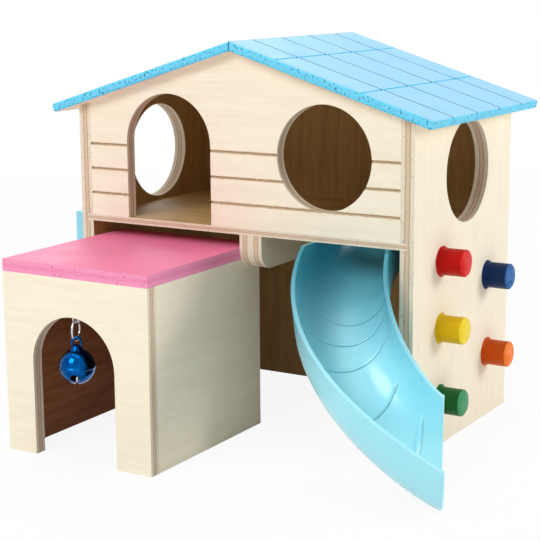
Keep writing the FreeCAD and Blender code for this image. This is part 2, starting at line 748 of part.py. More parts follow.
def make_bell():
    yaw = FreeCAD.Rotation(FreeCAD.Vector(0, 0, 1), size("ringYaw"))
    across = FreeCAD.Rotation(FreeCAD.Vector(0, 1, 0), 90)
    along = FreeCAD.Rotation(FreeCAD.Vector(1, 0, 0), 90)
    node(torus("BellRing", ring_radius, "ringWire", yaw.multiply(across), "hutDoorX", bell_y, ring_z),
         "bell_ring")
    loop = torus("LoopWire", loop_radius, "loopWire", yaw.multiply(along), "hutDoorX", bell_y, loop_z)
    node(cut("BellLoop", loop, fuse("LoopSeat", [ball("LoopBall", "bellRadius", -90, 90), bell_neck()])),
         "bell_loop")
    for name, low, high, lift in (("Upper", 0, 90, "0"), ("Lower", -90, 0, "bellLipHigh")):
        skin = ball("Bell%sBall" % name, "bellRadius", low, high)
        lip = rod("Bell%sLip" % name, "bellRadius + bellLip", "bellLipHigh", FreeCAD.Vector(0, 0, 1),
                  "hutDoorX", bell_y, "%s - %s" % (bell_z, lift))
        solids = [skin, lip, bell_neck()] if name == "Upper" else [skin, lip]
        blank = fuse("Bell%sBlank" % name, solids)
        shell = cut("Bell%sShell" % name, blank, ball("Bell%sHollow" % name, "bellRadius - bellSkin", -90, 90))
        if name == "Lower":
            shell = cut("BellLowerSlotted", shell, bell_slot())
        node(shell, "bell_%s_shell" % name.lower())
    pellet = doc.addObject("Part::Sphere", "BellPellet")
    bind(pellet, "Radius", "pelletRadius")
    at(pellet, "hutDoorX", bell_y, "%s - bellRadius + bellSkin + linkPlay + pelletRadius" % bell_z)
    node(pellet, "bell_pellet")


def ball(name, radius, low, high):
    item = doc.addObject("Part::Sphere", name)
    bind(item, "Radius", radius)
    item.Angle1 = low
    item.Angle2 = high
    return at(item, "hutDoorX", bell_y, bell_z)


def bell_neck():
    # the cone that the loop stands on
    item = doc.addObject("Part::Cone", "BellNeck")
    bind(item, "Radius1", "neckWide")
    bind(item, "Radius2", "neckTop")
    bind(item, "Height", "bellRadius - sqrt(bellRadius * bellRadius - neckWide * neckWide) + 2 * neckHigh + loopWire / 2")
    return at(item, "hutDoorX", bell_y, "%s + sqrt(bellRadius * bellRadius - neckWide * neckWide)" % bell_z)


def bell_slot():
    # a slot across the bottom with a round hole at each end
    turn = FreeCAD.Rotation(FreeCAD.Vector(0, 0, 1), size("bellSlotTurn"))
    pieces = []
    reach = "bellRadius * sin(bellSlotAngle)"
    bar = doc.addObject("Part::Box", "SlotBar")
    bind(bar, "Length", "2 * %s" % reach)
    bind(bar, "Width", "bellSlot")
    bind(bar, "Height", "bellRadius")
    bar.Placement = FreeCAD.Placement(FreeCAD.Vector(), turn)
    pieces.append(at(bar, "hutDoorX - %s * cos(bellSlotTurn) + bellSlot / 2 * sin(bellSlotTurn)" % reach,
                     "%s - %s * sin(bellSlotTurn) - bellSlot / 2 * cos(bellSlotTurn)" % (bell_y, reach),
                     "%s - bellRadius * 1.2" % bell_z))
    for sign in (-1, 1):
        slope = math.radians(size("bellSlotAngle"))
        spin = math.radians(size("bellSlotTurn"))
        direction = FreeCAD.Vector(sign * math.sin(slope) * math.cos(spin),
                                   sign * math.sin(slope) * math.sin(spin), -math.cos(slope))
        pieces.append(rod("SlotHole%d" % (sign + 1), "bellHole", "bellRadius * 2", direction,
                          "hutDoorX", bell_y, bell_z))
    return fuse("BellSlot", pieces)


def make_chute():
    feature = doc.addObject("Part::Feature", "SlideChute")
    feature.Shape = chute_shape()
    feature.Placement = FreeCAD.Placement(FreeCAD.Vector(size("frameX"), size("frameY"), 0),
                                          FreeCAD.Rotation())
    node(feature, "slide_chute")


pegs = make_pegs()
floor_board = make_floor()
dowels = make_wall_dowels()
nails = make_nails()
make_side_walls(floor_board, pegs, dowels, nails)
make_gables(dowels)
make_roof()
make_beam()
staple = make_staple()
make_hut(staple)
make_bell()
make_ladder()
make_chute()
make_screws()
doc.recompute()

for item in doc.Objects:
    if "Invalid" in item.State or "Error" in item.State:
        raise RuntimeError("%s did not build: %s" % (item.Label, item.State))
for name, item in nodes:
    if item.Shape.isNull() or not item.Shape.isValid() or not item.Shape.Solids:
        raise RuntimeError("%s has no valid shape" % name)

for name, item in nodes:
    item.Shape.exportStep("parts/%s.step" % name)
    box = item.Shape.BoundBox
    print("%-20s %8.1f mm3  x %.1f %.1f  y %.1f %.1f  z %.1f %.1f" % (
        name, item.Shape.Volume, box.XMin, box.XMax, box.YMin, box.YMax, box.ZMin, box.ZMax))
print(len(nodes), "nodes")
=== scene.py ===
import bpy
import json
import math
from mathutils import Matrix, Vector


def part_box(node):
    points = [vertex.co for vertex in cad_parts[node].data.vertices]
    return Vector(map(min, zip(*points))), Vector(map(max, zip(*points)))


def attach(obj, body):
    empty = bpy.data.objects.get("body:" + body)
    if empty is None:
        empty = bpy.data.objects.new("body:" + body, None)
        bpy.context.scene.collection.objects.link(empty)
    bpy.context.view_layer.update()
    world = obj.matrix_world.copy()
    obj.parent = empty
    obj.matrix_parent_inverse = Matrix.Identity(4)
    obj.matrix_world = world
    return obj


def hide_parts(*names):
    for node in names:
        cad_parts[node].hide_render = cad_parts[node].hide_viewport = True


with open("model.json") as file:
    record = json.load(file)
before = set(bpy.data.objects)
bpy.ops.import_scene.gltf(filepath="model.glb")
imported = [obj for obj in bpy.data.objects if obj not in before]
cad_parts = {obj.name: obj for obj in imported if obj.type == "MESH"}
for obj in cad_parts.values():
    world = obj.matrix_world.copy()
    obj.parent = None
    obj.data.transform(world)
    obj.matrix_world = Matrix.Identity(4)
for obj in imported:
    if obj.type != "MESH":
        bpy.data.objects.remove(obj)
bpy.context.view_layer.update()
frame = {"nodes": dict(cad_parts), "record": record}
scene = bpy.context.scene

lowest = {name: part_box(name)[0] for name in frame["nodes"]}
highest = {name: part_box(name)[1] for name in frame["nodes"]}
halfHouse = 0.081
houseFront = lowest["left_wall"]
houseMiddle = Vector((houseFront.x + halfHouse, houseFront.y, 0.0))   # of the front face, on the ground

cameraSetup = {
    "place": (0.31784, -0.49945, 0.18984),   # from the middle of the house's front face
    "yaw": 31.155,      # degrees, turned from +Y towards -X
    "pitch": 11.40,     # degrees downwards
    "roll": -0.394,
    "lens": 96.396,
    "sensor": 36.0,
    "near": 0.01,
}

lightSetup = {
    "worldFill": 0.38,
    "lamps": {   # place, size, power, colour
        "keyLight": ((-0.22, -1.00, 0.92), 0.6, 8.6, (1.0, 0.995, 0.98)),
        "sideLight": ((1.05, 0.50, 0.50), 0.5, 6.0, (1.0, 0.995, 0.985)),
        "topLight": ((-0.05, 0.00, 1.25), 0.9, 3.4, (1.0, 1.0, 1.0)),
        "backLight": ((-0.75, 0.95, 0.60), 0.6, 3.2, (1.0, 1.0, 1.0)),
    },
    "aimAt": (0.0, 0.0, 0.07),
    "floorColour": (0.90, 0.90, 0.90, 1.0),
    "floorMottle": (0.86, 0.86, 0.86, 1.0),
    "floorGlow": 0.91,
    "floorFades": (0.15, 1.0),   # distances between which it turns white
}


def srgb(red, green, blue):
    def lift(value):
        value = value / 255.0
        return value / 12.92 if value <= 0.04045 else ((value + 0.055) / 1.055) ** 2.4
    return (lift(red), lift(green), lift(blue), 1.0)


# small helpers that wire up material nodes

def addNode(tree, kind, settings=None, values=None):
    made = tree.nodes.new(kind)
    for key, value in (settings or {}).items():
        setattr(made, key, value)
    for key, value in (values or {}).items():
        made.inputs[key].default_value = value
    return made


def plugIn(tree, value, socket):
    if isinstance(value, bpy.types.NodeSocket):
        tree.links.new(value, socket)
    else:
        socket.default_value = value


def mathNode(tree, operation, first, second=None):
    made = addNode(tree, "ShaderNodeMath", {"operation": operation})
    plugIn(tree, first, made.inputs[0])
    if second is not None:
        plugIn(tree, second, made.inputs[1])
    return made.outputs[0]


def mixColour(tree, factor, first, second):
    made = addNode(tree, "ShaderNodeMix", {"data_type": "RGBA"})
    plugIn(tree, factor, made.inputs[0])
    plugIn(tree, first, made.inputs[6])
    plugIn(tree, second, made.inputs[7])
    return made.outputs[2]


def rampNode(tree, value, low, high):
    made = addNode(tree, "ShaderNodeMapRange", {"interpolation_type": "SMOOTHSTEP"},
                   {"From Min": low, "From Max": high})
    tree.links.new(value, made.inputs["Value"])
    return made.outputs[0]


def noiseNode(tree, vector, scale, detail=3.0, rough=0.55, distortion=0.0):
    made = addNode(tree, "ShaderNodeTexNoise", None,
                   {"Scale": scale, "Detail": detail, "Roughness": rough, "Distortion": distortion})
    tree.links.new(vector, made.inputs["Vector"])
    return made.outputs[0]


def alongAxis(tree, vector, axis):
    made = addNode(tree, "ShaderNodeVectorMath", {"operation": "DOT_PRODUCT"})
    tree.links.new(vector, made.inputs[0])
    plugIn(tree, axis, made.inputs[1])
    return made.outputs["Value"]


def nearLines(tree, value, places):
    # distance to the nearest of some parallel lines
    nearest = None
    for place in places:
        away = mathNode(tree, "ABSOLUTE", mathNode(tree, "SUBTRACT", value, place))
        nearest = away if nearest is None else mathNode(tree, "MINIMUM", nearest, away)
    return nearest


# shared effects

def makeGrainGroup():
    group = bpy.data.node_groups.new("woodGrain", "ShaderNodeTree")
    for name in ("Position", "Stretch"):
        group.interface.new_socket(name=name, in_out="INPUT", socket_type="NodeSocketVector")
    for name in ("Streaks", "Mottle", "Pores"):
        group.interface.new_socket(name=name, in_out="OUTPUT", socket_type="NodeSocketFloat")
    inside = group.nodes.new("NodeGroupInput")
    outside = group.nodes.new("NodeGroupOutput")
    stretched = addNode(group, "ShaderNodeVectorMath", {"operation": "MULTIPLY"})
    group.links.new(inside.outputs["Position"], stretched.inputs[0])
    group.links.new(inside.outputs["Stretch"], stretched.inputs[1])
    wide = noiseNode(group, stretched.outputs[0], 1.0, 4.0, 0.6, 0.6)
    fine = noiseNode(group, stretched.outputs[0], 4.3, 3.0, 0.7, 0.2)
    streaks = mathNode(group, "ADD", mathNode(group, "MULTIPLY", wide, 0.62),
                       mathNode(group, "MULTIPLY", fine, 0.38))
    mottle = noiseNode(group, inside.outputs["Position"], 55.0, 3.0, 0.5, 0.3)
    pores = noiseNode(group, stretched.outputs[0], 11.0, 2.0, 0.6)
    group.links.new(rampNode(group, streaks, 0.36, 0.66), outside.inputs["Streaks"])
    group.links.new(rampNode(group, mottle, 0.30, 0.72), outside.inputs["Mottle"])
    group.links.new(rampNode(group, pores, 0.60, 0.74), outside.inputs["Pores"])
    return group


plySetup = {   # as parts of a board's thickness
    "glueLines": (0.34, 0.67),
    "glueFades": (0.060, 0.015),
    "middle": (0.505,),
    "coreFades": (0.19, 0.14),
    "wobble": 0.10,
    "wobbleScale": 160.0,
}


def makePlyGroup():
    # where a board's edge shows its layers: how far through the board, and which way the face looks
    group = bpy.data.node_groups.new("plyEdge", "ShaderNodeTree")
    for name in ("Position", "Normal", "Through"):
        group.interface.new_socket(name=name, in_out="INPUT", socket_type="NodeSocketVector")
    for name in ("Start", "Thick"):
        group.interface.new_socket(name=name, in_out="INPUT", socket_type="NodeSocketFloat")
    for name in ("Edge", "Glue", "Core", "Side", "Depth"):
        group.interface.new_socket(name=name, in_out="OUTPUT", socket_type="NodeSocketFloat")
    inside = group.nodes.new("NodeGroupInput")
    outside = group.nodes.new("NodeGroupOutput")
    side = alongAxis(group, inside.outputs["Normal"], inside.outputs["Through"])
    depth = alongAxis(group, inside.outputs["Position"], inside.outputs["Through"])
    share = mathNode(group, "DIVIDE", mathNode(group, "SUBTRACT", depth, inside.outputs["Start"]),
                     inside.outputs["Thick"])
    uneven = noiseNode(group, inside.outputs["Position"], plySetup["wobbleScale"], 2.0)
    wobble = mathNode(group, "SUBTRACT", uneven, 0.5)
    wavy = mathNode(group, "ADD", share, mathNode(group, "MULTIPLY", wobble, plySetup["wobble"]))
    near = nearLines(group, wavy, plySetup["glueLines"])
    middle = nearLines(group, wavy, plySetup["middle"])
    turned = mathNode(group, "ABSOLUTE", side)
    group.links.new(rampNode(group, turned, 0.80, 0.55), outside.inputs["Edge"])
    group.links.new(rampNode(group, near, *plySetup["glueFades"]), outside.inputs["Glue"])
    group.links.new(rampNode(group, middle, *plySetup["coreFades"]), outside.inputs["Core"])
    group.links.new(side, outside.inputs["Side"])
    group.links.new(share, outside.inputs["Depth"])
    return group


grainGroup = makeGrainGroup()
plyGroup = makePlyGroup()
print("shared effects made")

verticalGrain = (330.0, 330.0, 22.0)
horizontalGrain = (22.0, 330.0, 330.0)
deepGrain = (330.0, 22.0, 330.0)


def startMaterial(name):
    material = bpy.data.materials.new(name)
    material.use_nodes = True
    tree = material.node_tree
    tree.nodes.clear()
    output = addNode(tree, "ShaderNodeOutputMaterial")
    shader = addNode(tree, "ShaderNodeBsdfPrincipled")
    tree.links.new(shader.outputs[0], output.inputs["Surface"])
    coords = addNode(tree, "ShaderNodeTexCoord")
    return material, tree, shader, coords


def addBump(tree, shader, height, strength, distance):
    bump = addNode(tree, "ShaderNodeBump", None, {"Strength": strength, "Distance": distance})
    tree.links.new(height, bump.inputs["Height"])
    tree.links.new(bump.outputs[0], shader.inputs["Normal"])


def grainAndPly(tree, coords, board):
    grain = addNode(tree, "ShaderNodeGroup", {"node_tree": grainGroup}, {"Stretch": board["grain"]})
    tree.links.new(coords.outputs["Object"], grain.inputs["Position"])
    ply = addNode(tree, "ShaderNodeGroup", {"node_tree": plyGroup},
                  {"Through": board["through"], "Start": board["start"], "Thick": board["thick"]})
    tree.links.new(coords.outputs["Object"], ply.inputs["Position"])
    tree.links.new(coords.outputs["Normal"], ply.inputs["Normal"])
    return grain.outputs, ply.outputs


def boardFacts(node, grain, through, inner=0):
    axis = Vector(through)
    start = lowest[node].dot(axis)
    return {"grain": grain, "through": through, "start": start, "thick": highest[node].dot(axis) - start,
            "inner": inner}


woodLook = {
    "face": srgb(251, 242, 221),
    "streak": srgb(240, 225, 197),
    "mottle": srgb(246, 233, 208),
    "pore": srgb(222, 194, 160),
    "edge": srgb(234, 220, 198),
    "core": srgb(220, 194, 164),
    "glue": srgb(160, 124, 92),
    "pit": srgb(178, 148, 118),
    # inner and innerStreak: painted shade, a browner wood colour for the faces that look into the house
    "inner": srgb(194, 158, 100),
    "innerStreak": srgb(166, 130, 78),
    "burnt": srgb(184, 150, 112),
    "roughness": 0.6,
}
sidingSetup = {   # the scorched grooves of the front panel
    "heights": (0.0983, 0.10905, 0.1198),
    "fades": (0.00085, 0.00035),
    "ragged": 0.0009,
    "raggedScale": 700.0,
    "strength": 0.85,
}
bothSides = 2   # for a board with painted shade, browner wood, above and below


def makeBoard(name, board, look=None):
    # bare plywood: pale veneer, painted shade as browner wood on the faces that look inwards, layered edges
    look = dict(woodLook, **(look or {}))
    material, tree, shader, coords = startMaterial(name)
    grain, ply = grainAndPly(tree, coords, board)
    streaks = grain["Streaks"]
    face = mixColour(tree, mathNode(tree, "MULTIPLY", streaks, 0.50), look["face"], look["streak"])
    face = mixColour(tree, mathNode(tree, "MULTIPLY", grain["Mottle"], 0.40), face, look["mottle"])
    face = mixColour(tree, mathNode(tree, "MULTIPLY", grain["Pores"], 0.22), face, look["pore"])
    # painted shade: faces that look inwards turn to the browner inner colour
    if board["inner"]:
        facing = mathNode(tree, "MULTIPLY", ply["Side"], board["inner"])
        if board["inner"] == bothSides:
            facing = mathNode(tree, "ABSOLUTE", ply["Side"])
        looksIn = rampNode(tree, facing, 0.85, 0.95)
        inner = mixColour(tree, mathNode(tree, "MULTIPLY", streaks, 0.75), look["inner"], look["innerStreak"])
        face = mixColour(tree, looksIn, face, inner)
    if board.get("grooves"):
        height = alongAxis(tree, coords.outputs["Object"], (0.0, 0.0, 1.0))
        uneven = noiseNode(tree, coords.outputs["Object"], sidingSetup["raggedScale"], 2.0, 0.7)
        ragged = mathNode(tree, "SUBTRACT", uneven, 0.5)
        away = mathNode(tree, "ADD", nearLines(tree, height, board["grooves"]),
                        mathNode(tree, "MULTIPLY", ragged, sidingSetup["ragged"]))
        front = rampNode(tree, ply["Depth"], 0.30, 0.20)
        burnt = mathNode(tree, "MULTIPLY", rampNode(tree, away, *sidingSetup["fades"]), front)
        burnt = mathNode(tree, "MULTIPLY", burnt, sidingSetup["strength"])
        face = mixColour(tree, burnt, face, look["burnt"])
    edge = mixColour(tree, ply["Core"], look["edge"], look["core"])
    edge = mixColour(tree, mathNode(tree, "MULTIPLY", ply["Glue"], 0.62), edge, look["glue"])
    pits = rampNode(tree, noiseNode(tree, coords.outputs["Object"], 900.0, 2.0, 0.6), 0.58, 0.72)
    edge = mixColour(tree, mathNode(tree, "MULTIPLY", pits, 0.40), edge, look["pit"])
    tree.links.new(mixColour(tree, ply["Edge"], face, edge), shader.inputs["Base Color"])
    tree.links.new(mathNode(tree, "ADD", look["roughness"], mathNode(tree, "MULTIPLY", streaks, 0.12)),
                   shader.inputs["Roughness"])
    shader.inputs["Specular IOR Level"].default_value = 0.3
    relief = mathNode(tree, "SUBTRACT", mathNode(tree, "MULTIPLY", streaks, 0.4),
                      mathNode(tree, "MULTIPLY", mathNode(tree, "MULTIPLY", pits, ply["Edge"]), 0.8))
    addBump(tree, shader, relief, 0.30, 0.0002)
    return material


def makePainted(name, look, board):
    # stained board: a lighter broad face, richer edges with specks, grooves in their own colour or in painted
    # shade, one side bare
    material, tree, shader, coords = startMaterial(name)
    grain, ply = grainAndPly(tree, coords, board)
    place = coords.outputs["Object"]
    face = mixColour(tree, mathNode(tree, "MULTIPLY", grain["Streaks"], look["grain"]),
                     look["face"], look["streak"])
    face = mixColour(tree, mathNode(tree, "MULTIPLY", grain["Mottle"], 0.35), face, look["mottle"])
    specks = rampNode(tree, noiseNode(tree, place, look["speckScale"], 2.0, 0.65),
                      look["speckFrom"], look["speckFrom"] + 0.05)
    edge = mixColour(tree, mathNode(tree, "MULTIPLY", ply["Core"], 0.30), look["edge"], look["streak"])
    edge = mixColour(tree, mathNode(tree, "MULTIPLY", specks, look["speckAmount"]), edge, look["speck"])
    colour = mixColour(tree, ply["Edge"], face, edge)
    # each groove gets its colour; on the roof the seams get painted shade
    for axis, places, halfWidth, grooveColour, spread in board.get("grooves", ()):
        away = nearLines(tree, alongAxis(tree, place, axis), places)
        sunk = rampNode(tree, ply["Depth"], 0.80, 0.84)
        if not spread:
            sunk = mathNode(tree, "MULTIPLY", rampNode(tree, ply["Depth"], 0.985, 0.955), sunk)
        groove = mathNode(tree, "MULTIPLY", rampNode(tree, away, halfWidth, halfWidth * 0.7), sunk)
        colour = mixColour(tree, groove, colour, grooveColour)
    if board["inner"]:
        bare = rampNode(tree, mathNode(tree, "MULTIPLY", ply["Side"], board["inner"]), 0.90, 0.95)
        colour = mixColour(tree, bare, colour,
                           mixColour(tree, grain["Streaks"], woodLook["mottle"], woodLook["streak"]))
    tree.links.new(colour, shader.inputs["Base Color"])
    tree.links.new(mathNode(tree, "ADD", look["roughness"], mathNode(tree, "MULTIPLY", grain["Mottle"], 0.1)),
                   shader.inputs["Roughness"])
    shader.inputs["Specular IOR Level"].default_value = 0.35
    relief = mathNode(tree, "SUBTRACT", mathNode(tree, "MULTIPLY", grain["Streaks"], 0.3),
                      mathNode(tree, "MULTIPLY", mathNode(tree, "MULTIPLY", specks, ply["Edge"]), 0.6))
    addBump(tree, shader, relief, 0.3, 0.00018)
    return material


def bodyOf(node):
    for body, members in frame["record"]["behaviour"]["bodies"].items():
        if node in members:
            return body
    return "house"


def onlySelect(piece):
    bpy.ops.object.select_all(action="DESELECT")
    piece.select_set(True)
    bpy.context.view_layer.objects.active = piece


def copyNode(node, name):
    source = frame["nodes"][node]
    piece = bpy.data.objects.new(name, source.data.copy())
    scene.collection.objects.link(piece)
    piece.data.materials.clear()
    onlySelect(piece)
    bpy.ops.object.mode_set(mode="EDIT")
    bpy.ops.mesh.select_all(action="SELECT")
    bpy.ops.mesh.remove_doubles(threshold=0.000002)
    bpy.ops.object.mode_set(mode="OBJECT")
    return piece


def applyModifier(piece, kind, settings):
    modifier = piece.modifiers.new(kind, kind)
    for key, value in settings.items():
        setattr(modifier, key, value)
    onlySelect(piece)
    bpy.ops.object.modifier_apply(modifier=modifier.name)


def smoothCopy(node, material, angle=32.0, flat=False):
    # the same solid with its corners joined, so that curved faces shade as one and flat ones stay flat
    piece = copyNode(node, node + "_shown")
    piece.data.materials.append(material)
    if flat:
        bpy.ops.object.mode_set(mode="EDIT")
        bpy.ops.mesh.select_all(action="SELECT")
        bpy.ops.mesh.dissolve_limited(angle_limit=math.radians(0.4))
        bpy.ops.object.mode_set(mode="OBJECT")
    bpy.ops.object.shade_smooth_by_angle(angle=math.radians(angle))
    if flat:
        applyModifier(piece, "WEIGHTED_NORMAL", {"keep_sharp": True, "weight": 80})
    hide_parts(node)
    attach(piece, bodyOf(node))
    return piece


boardAngle = 25.0   # degrees; steeper corners of a board stay sharp

boards = {   # node: grain, direction through the board, which side looks inwards
    "left_wall": (verticalGrain, (1.0, 0.0, 0.0), 1),
    "right_wall": (verticalGrain, (1.0, 0.0, 0.0), -1),
    "front_panel": (horizontalGrain, (0.0, 1.0, 0.0), 1),
    "back_wall": (verticalGrain, (0.0, 1.0, 0.0), -1),
    "upper_floor": (horizontalGrain, (0.0, 0.0, 1.0), bothSides),
    "floor_beam_left": (deepGrain, (1.0, 0.0, 0.0), 0),
    "floor_beam_right": (deepGrain, (1.0, 0.0, 0.0), 0),
    "hut_front": (horizontalGrain, (0.0, 1.0, 0.0), 1),
    "hut_left_wall": (deepGrain, (1.0, 0.0, 0.0), 1),
    "hut_right_wall": (deepGrain, (1.0, 0.0, 0.0), -1),
}
# painted shade, darker still, on the faces inside the hut
hutInsideShade = {"inner": srgb(176, 114, 68), "innerStreak": srgb(140, 84, 44)}


def dressBoards():
    for name, (grain, through, inner) in boards.items():
        facts = boardFacts(name, grain, through, inner)
        if name == "front_panel":
            facts["grooves"] = sidingSetup["heights"]
        look = hutInsideShade if name.startswith("hut") else None
        smoothCopy(name, makeBoard(name + "_wood", facts, look), boardAngle, True)
    dowels = makeBoard("dowel_wood", {"grain": horizontalGrain, "through": (1.0, 0.0, 0.0),
                                      "start": -0.2, "thick": 0.4, "inner": 0})
    for name in ("wall_dowels", "hut_dowels"):
        smoothCopy(name, dowels)


roofSetup = {
    "slope": math.radians(17.2),
    "ridgeHeight": 0.1611,
    "courses": (0.022, 0.062),   # from the ridge, down the slope
    "seams": (0.013, 0.0365, 0.060, 0.0835),   # from the house's front face
    "look": {
        "face": srgb(156, 213, 248), "streak": srgb(144, 205, 245), "mottle": srgb(150, 210, 250),
        "edge": srgb(98, 214, 246), "speck": srgb(18, 92, 128), "grain": 0.30,
        "speckScale": 1000.0, "speckFrom": 0.585, "speckAmount": 0.9, "roughness": 0.5,
    },
    # the seams are painted shade: dark lines where shade falls in the gaps between the slats, spread onto the
    # face beside them
    "seamShadeColour": srgb(24, 84, 116), "seamHalf": 0.0005,
    "courseColour": srgb(116, 220, 246), "courseHalf": 0.00075,
}
hutRoofLook = {
    "face": srgb(238, 122, 162), "streak": srgb(232, 110, 152), "mottle": srgb(244, 140, 178),
    "edge": srgb(246, 152, 190), "speck": srgb(190, 62, 104), "grain": 0.45,
    "speckScale": 1000.0, "speckFrom": 0.64, "speckAmount": 0.75, "roughness": 0.5,
}
ladderLook = {
    "face": srgb(160, 226, 244), "streak": srgb(140, 214, 238), "mottle": srgb(172, 234, 248),
    "edge": srgb(150, 222, 242), "speck": srgb(60, 140, 170), "grain": 0.4,
    "speckScale": 1000.0, "speckFrom": 0.68, "speckAmount": 0.5, "roughness": 0.5,
}


def dressPainted():
    slope = roofSetup["slope"]
    ridge = Vector((houseMiddle.x, 0.0, roofSetup["ridgeHeight"]))
    for name, side in (("roof_left", -1.0), ("roof_right", 1.0)):
        through = Vector((side * math.sin(slope), 0.0, math.cos(slope)))
        down = Vector((side * math.cos(slope), 0.0, -math.sin(slope)))
        levels = [vertex.co.dot(through) for vertex in frame["nodes"][name].data.vertices]
        facts = {
            "grain": deepGrain, "through": tuple(through), "start": min(levels),
            "thick": max(levels) - min(levels), "inner": -1,
            "grooves": [   # direction, places, half of the width, colour, whether it spreads on the face
                (tuple(down), [ridge.dot(down) + course for course in roofSetup["courses"]],
                 roofSetup["courseHalf"], roofSetup["courseColour"], False),
                ((0.0, 1.0, 0.0), [houseMiddle.y + seam for seam in roofSetup["seams"]],
                 roofSetup["seamHalf"], roofSetup["seamShadeColour"], True),
            ],
        }
        smoothCopy(name, makePainted(name + "_paint", roofSetup["look"], facts), boardAngle, True)
    facts = boardFacts("hut_roof", horizontalGrain, (0.0, 0.0, 1.0), 0)
    smoothCopy("hut_roof", makePainted("hut_roof_paint", hutRoofLook, facts), boardAngle, True)
    facts = boardFacts("ladder_stile_front", verticalGrain, (1.0, 0.0, 0.0), 0)
    ladderPaint = makePainted("ladder_paint", ladderLook, facts)
    for name in ("ladder_stile_front", "ladder_stile_back"):
        smoothCopy(name, ladderPaint, boardAngle, True)
    smoothCopy("ladder_rungs", ladderPaint)


dressBoards()
dressPainted()
print("boards made")

pegSetup = {   # colour of the side, colour of the end
    "peg_red": (srgb(188, 6, 3), srgb(222, 32, 30)),
    "peg_blue": (srgb(8, 42, 92), srgb(44, 106, 172)),
    "peg_yellow": (srgb(222, 182, 12), srgb(248, 216, 52)),
    "peg_orange": (srgb(208, 82, 8), srgb(252, 132, 52)),
    "peg_green": (srgb(20, 98, 42), srgb(64, 150, 98)),
}
pegSmooth = 14.0   # degrees, under the steps of the rounded rim
beadSetup = {"reach": 0.00085, "long": 0.0012, "ripple": 0.00012}


def makePegPaint(name, side, end):
    material, tree, shader, coords = startMaterial(name)
    board = {"grain": horizontalGrain, "through": (1.0, 0.0, 0.0), "start": 0.0, "thick": 1.0}
    grain, ply = grainAndPly(tree, coords, board)
    dark = tuple(channel * 0.6 for channel in side[:3]) + (1.0,)
    colour = mixColour(tree, mathNode(tree, "MULTIPLY", grain["Streaks"], 0.14), side, dark)
    rings = rampNode(tree, noiseNode(tree, coords.outputs["Object"], 600.0, 3.0, 0.6), 0.35, 0.75)
    endColour = mixColour(tree, mathNode(tree, "MULTIPLY", rings, 0.35), end, side)
    colour = mixColour(tree, rampNode(tree, ply["Edge"], 0.6, 0.2), colour, endColour)
    tree.links.new(colour, shader.inputs["Base Color"])
    tree.links.new(mathNode(tree, "ADD", 0.36, mathNode(tree, "MULTIPLY", rings, 0.12)),
                   shader.inputs["Roughness"])
    shader.inputs["Specular IOR Level"].default_value = 0.12
    addBump(tree, shader, mathNode(tree, "MULTIPLY", grain["Streaks"], 0.5), 0.14, 0.00012)
    return material


def makePegs():
    wallFace = highest["right_wall"].x
    for turn, (name, (side, end)) in enumerate(pegSetup.items()):
        paint = makePegPaint(name + "_paint", side, end)
        smoothCopy(name, paint, pegSmooth)
        middle = (lowest[name] + highest[name]) / 2
        radius = (highest[name].z - lowest[name].z) / 2
        # the bead of paint and glue where the peg goes into the wall
        bpy.ops.object.select_all(action="DESELECT")
        bpy.ops.mesh.primitive_cone_add(vertices=40, radius1=radius + beadSetup["reach"], radius2=radius,
                                        depth=beadSetup["long"], end_fill_type="NOTHING",
                                        location=(wallFace + beadSetup["long"] / 2, middle.y, middle.z),
                                        rotation=(0.0, math.radians(90.0), 0.0))
        bead = bpy.context.object
        bead.name = name + "_bead"
        bpy.ops.object.transform_apply(location=True, rotation=True, scale=True)
        for vertex in bead.data.vertices:
            if vertex.co.x > wallFace + beadSetup["long"] / 2:
                continue
            away = Vector((0.0, vertex.co.y - middle.y, vertex.co.z - middle.z))
            around = math.atan2(away.z, away.y)
            ripple = math.sin(3.0 * around + turn) + 0.6 * math.sin(7.0 * around + 2.1 * turn)
            vertex.co += away.normalized() * beadSetup["ripple"] * ripple
        bead.data.materials.append(paint)
        bpy.ops.object.shade_smooth()
        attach(bead, "house")


makePegs()
print("pegs made")

slideSetup = {   # millimetres and degrees, as the solid's own sizes
    "wall": 1.6, "x": 53.9, "y": 32.5, "top": 80.4, "run": 27.9, "bend": 37.9, "turn": 115.4,
    "slopeTop": 21.1, "pullTop": 24.9, "slopeEnd": 8.7, "pullEnd": 10.7, "end": 1.2,
    "half": (13.5, 21.7), "high": (32.5, 31.8, 28.7), "bowl": (0.35, 0.9), "bank": (7.0, -19.8),
    "underFloor": 84.5, "rows": 90, "columns": 44,
    "edgeRound": 0.28, "ribSunk": 0.15, "cutGap": 0.00001,
    "pale": srgb(158, 231, 245), "paler": srgb(170, 238, 250), "deep": srgb(58, 148, 170),
    "deepens": (0.038, 0.082),   # metres above the ground, between which the painted shade of the neck under the floor comes in
    "ribs": (   # part of the length, height, width, and where round the bowl it starts and ends
        (0.35, 0.55, 1.3, 26.0, 160.0),
        (0.41, 0.65, 1.4, 26.0, 158.0),
        (0.48, 0.75, 1.5, 26.0, 156.0),
        (0.62, 1.10, 2.0, 50.0, 150.0),
        (0.80, 1.10, 2.0, 50.0, 155.0),
    ),
}


